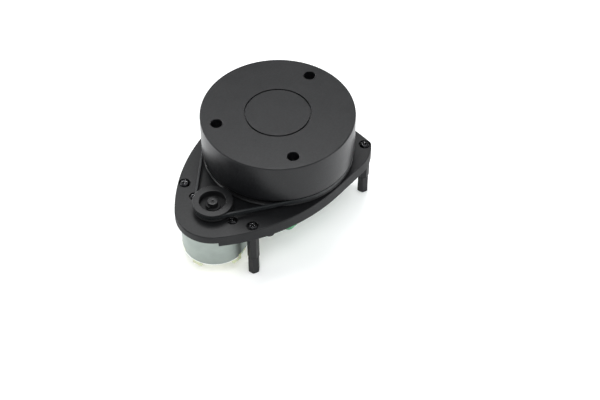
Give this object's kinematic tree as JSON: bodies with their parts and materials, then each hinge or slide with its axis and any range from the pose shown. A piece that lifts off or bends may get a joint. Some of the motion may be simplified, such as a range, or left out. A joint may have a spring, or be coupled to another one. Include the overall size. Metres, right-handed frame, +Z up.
{
  "type": "lidar scanner module",
  "caption": "Round belt-driven laser range scanner head on a pear-shaped plate with a motor beneath, standing on stacked hex standoffs.",
  "frame": {"origin": "on the surface that the feet stand on, under the middle of the footprint; the scan axis stands 13.65 mm behind it and the motor axis 31.45 mm in front of it", "axes": "+Z up along the scan axis; +X from the scan axis to the motor, along the plate; +Y to the plate's side"},
  "size_m": [0.0973, 0.0702, 0.0557],
  "materials": {
    "head_shell": "matte, fine moulded grain",
    "plate_plastic": "matte, fine moulded grain",
    "dark_plastic": "satin",
    "belt_rubber": "matte",
    "can_metal": "satin, drawn steel",
    "bright_steel": "satin",
    "black_steel": "black oxide, semi-gloss",
    "brass": "satin",
    "gold": "polished",
    "copper": "satin",
    "nylon": "translucent, pale yellow-green",
    "ivory_plastic": "semi-gloss",
    "board_green": "solder mask, glossy",
    "chip_black": "matte",
    "wire_red": "semi-gloss insulation",
    "wire_black": "semi-gloss insulation",
    "magnet": "matte ferrite",
    "lens_glass": "coated glass"
  },
  "bodies": {
    "base": {"base_plate": "plate_plastic", "lower_standoffs": "dark_plastic", "upper_standoffs": "dark_plastic", "corner_screws": "black_steel", "motor_screws": "black_steel", "control_board": "board_green", "control_chips": "chip_black", "control_parts": "bright_steel", "control_board_screws": "bright_steel", "data_socket": "ivory_plastic", "control_socket": "ivory_plastic", "motor_socket": "ivory_plastic", "socket_pins": "gold", "motor_plug": "ivory_plastic", "motor_lead_red": "wire_red", "motor_lead_black": "wire_black", "motor_can": "can_metal", "motor_magnets": "magnet", "motor_end_cap": "nylon", "motor_brushes": "copper", "motor_terminals": "brass", "motor_upper_bush": "brass", "motor_lower_bush": "brass", "bearing_outer_race": "bright_steel", "slip_ring_body": "dark_plastic", "slip_ring_brushes": "gold", "slip_ring_screws": "bright_steel", "slip_ring_base_leads": "wire_red", "drive_belt": "belt_rubber"},
    "scan_head": {"head_cap": "head_shell", "turntable": "dark_plastic", "head_screws": "bright_steel", "bearing_inner_race": "bright_steel", "retaining_ring": "bright_steel", "slip_ring_rotor": "dark_plastic", "slip_ring_contacts": "gold", "slip_ring_head_leads": "wire_red", "ranging_board": "board_green", "ranging_chips": "chip_black", "ranging_parts": "bright_steel", "ranging_board_screws": "bright_steel", "optics_bracket": "dark_plastic", "bracket_screws": "bright_steel", "laser_barrel": "brass", "laser_diode": "gold", "laser_lens": "lens_glass", "receiver_barrel": "dark_plastic", "receiver_lens": "lens_glass", "sensor_board": "board_green", "image_sensor": "chip_black", "sensor_header": "chip_black"},
    "ball_cage": {"bearing_balls": "bright_steel", "bearing_cage": "nylon"},
    "motor_rotor": {"drive_pulley": "dark_plastic", "motor_shaft": "bright_steel", "motor_armature": "bright_steel", "motor_windings": "copper", "motor_commutator": "copper"}
  },
  "joints": [
    {"name": "head_spin", "type": "hinge", "parent": "base", "child": "scan_head", "pos_m": [-0.01365, 0, 0.0305], "axis": [0, 0, 1], "continuous": true},
    {"name": "pulley_spin", "type": "hinge", "parent": "base", "child": "motor_rotor", "pos_m": [0.03145, 0, 0.0305], "axis": [0, 0, 1], "continuous": true},
    {"name": "cage_spin", "type": "hinge", "parent": "base", "child": "ball_cage", "pos_m": [-0.01365, 0, 0.0277], "axis": [0, 0, 1], "continuous": true}
  ],
  "couplings": [
    {"joint": "pulley_spin", "follows": "head_spin", "ratio": 4.2178},
    {"joint": "cage_spin", "follows": "head_spin", "ratio": 0.4442}
  ]
}
